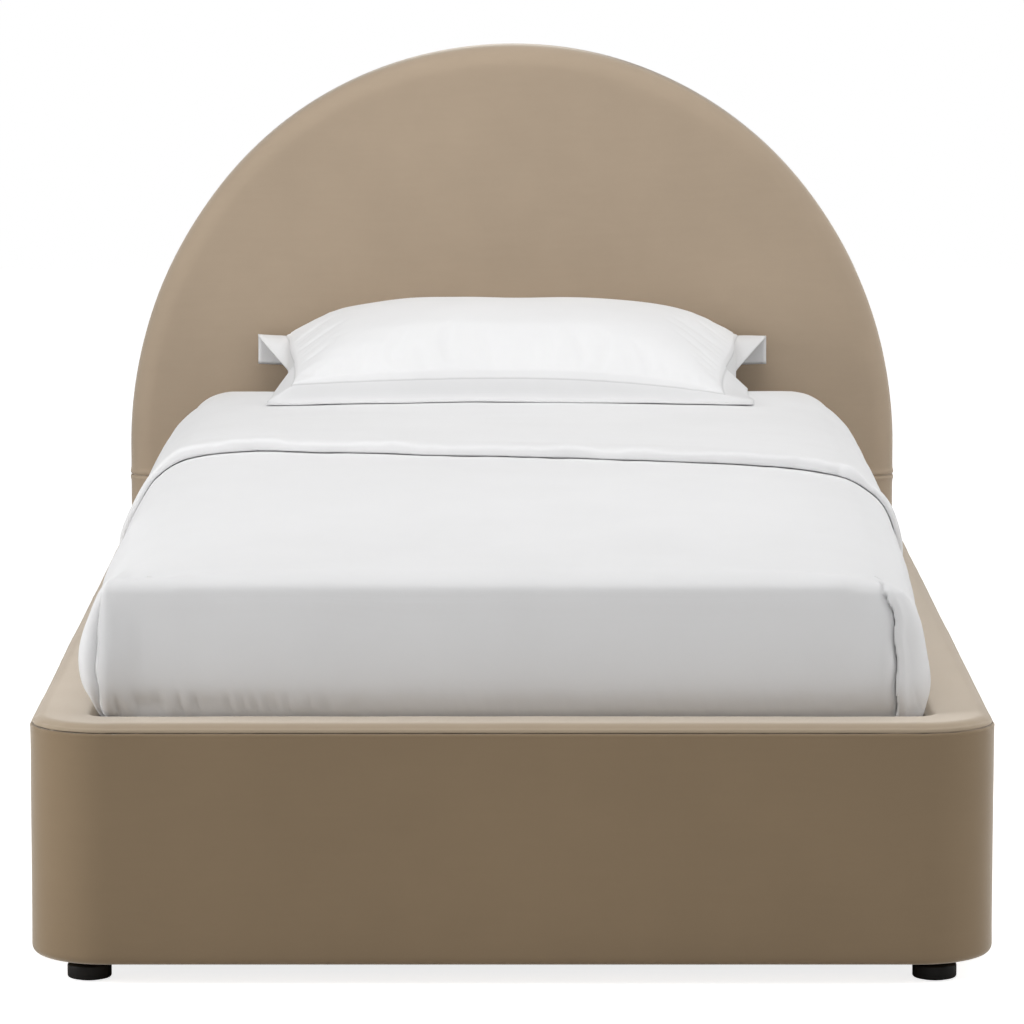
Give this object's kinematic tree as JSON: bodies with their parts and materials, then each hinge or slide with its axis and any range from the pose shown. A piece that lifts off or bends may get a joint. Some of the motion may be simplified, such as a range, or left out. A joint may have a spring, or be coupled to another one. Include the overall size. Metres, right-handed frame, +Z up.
{
  "type": "platform bed",
  "caption": "Upholstered single platform bed with an arched padded headboard and a slat base, made up with its mattress, fitted sheet, tucked duvet and pillow.",
  "frame": {"origin": "On the floor, at the middle of the bed's outline seen from above.", "axes": "+X to the right when standing at the foot and looking at the headboard, +Y along the bed from the foot to the headboard, +Z up. The bed is symmetric about the plane X = 0."},
  "size_m": [1.156, 2.086, 1.0219],
  "materials": {
    "pine": "matte",
    "plywood": "matte",
    "back_lining": "matte",
    "foam": "matte",
    "velvet": "matte",
    "slat_wood": "matte",
    "webbing": "matte",
    "zinc_steel": "satin",
    "screw_steel": "satin",
    "black_plastic": "matte",
    "ticking": "matte",
    "white_cotton": "matte"
  },
  "bodies": {
    "frame": {"headboard_left_post": "pine", "headboard_right_post": "pine", "headboard_arch_rib": "pine", "headboard_cross_rails": "pine", "headboard_face_board": "plywood", "headboard_back_board": "back_lining", "headboard_padding": "foam", "headboard_cover": "velvet", "headboard_lower_cover": "velvet", "left_rail_frame": "pine", "left_rail_boards": "plywood", "left_rail_padding": "foam", "left_rail_cover": "velvet", "left_rail_top_cover": "velvet", "right_rail_frame": "pine", "right_rail_boards": "plywood", "right_rail_padding": "foam", "right_rail_cover": "velvet", "right_rail_top_cover": "velvet", "footboard_frame": "pine", "footboard_corner_blocks": "pine", "footboard_boards": "plywood", "footboard_padding": "foam", "footboard_corner_padding": "foam", "footboard_cover": "velvet", "footboard_top_cover": "velvet", "left_ledger": "pine", "right_ledger": "pine", "middle_beam": "pine", "beam_hangers": "zinc_steel", "slat_01": "slat_wood", "slat_02": "slat_wood", "slat_03": "slat_wood", "slat_04": "slat_wood", "slat_05": "slat_wood", "slat_06": "slat_wood", "slat_07": "slat_wood", "slat_08": "slat_wood", "slat_09": "slat_wood", "slat_10": "slat_wood", "slat_11": "slat_wood", "slat_12": "slat_wood", "left_strap": "webbing", "right_strap": "webbing", "corner_brackets": "zinc_steel", "bracket_bolts": "screw_steel", "wood_screws": "screw_steel", "front_support_leg": "pine", "rear_support_leg": "pine", "front_left_foot": "black_plastic", "front_right_foot": "black_plastic", "rear_left_foot": "black_plastic", "rear_right_foot": "black_plastic", "foot_screws": "screw_steel"},
    "mattress": {"mattress": "ticking", "fitted_sheet": "white_cotton"},
    "duvet": {"duvet": "white_cotton"},
    "pillow": {"pillow": "white_cotton"},
    "front_glide": {"front_glide": "black_plastic"},
    "rear_glide": {"rear_glide": "black_plastic"}
  },
  "joints": [
    {"name": "mattress_lift", "type": "slide", "parent": "frame", "child": "mattress", "axis": [0, 0, 1], "range_m": [0, 0.4]},
    {"name": "duvet_lift", "type": "slide", "parent": "mattress", "child": "duvet", "axis": [0, 0, 1], "range_m": [0, 0.3]},
    {"name": "pillow_lift", "type": "slide", "parent": "duvet", "child": "pillow", "axis": [0, 0, 1], "range_m": [0, 0.25]},
    {"name": "front_glide_thread", "type": "slide", "parent": "frame", "child": "front_glide", "axis": [0, 0, 1], "range_m": [-0.012, 0.01]},
    {"name": "rear_glide_thread", "type": "slide", "parent": "frame", "child": "rear_glide", "axis": [0, 0, 1], "range_m": [-0.012, 0.01]}
  ]
}
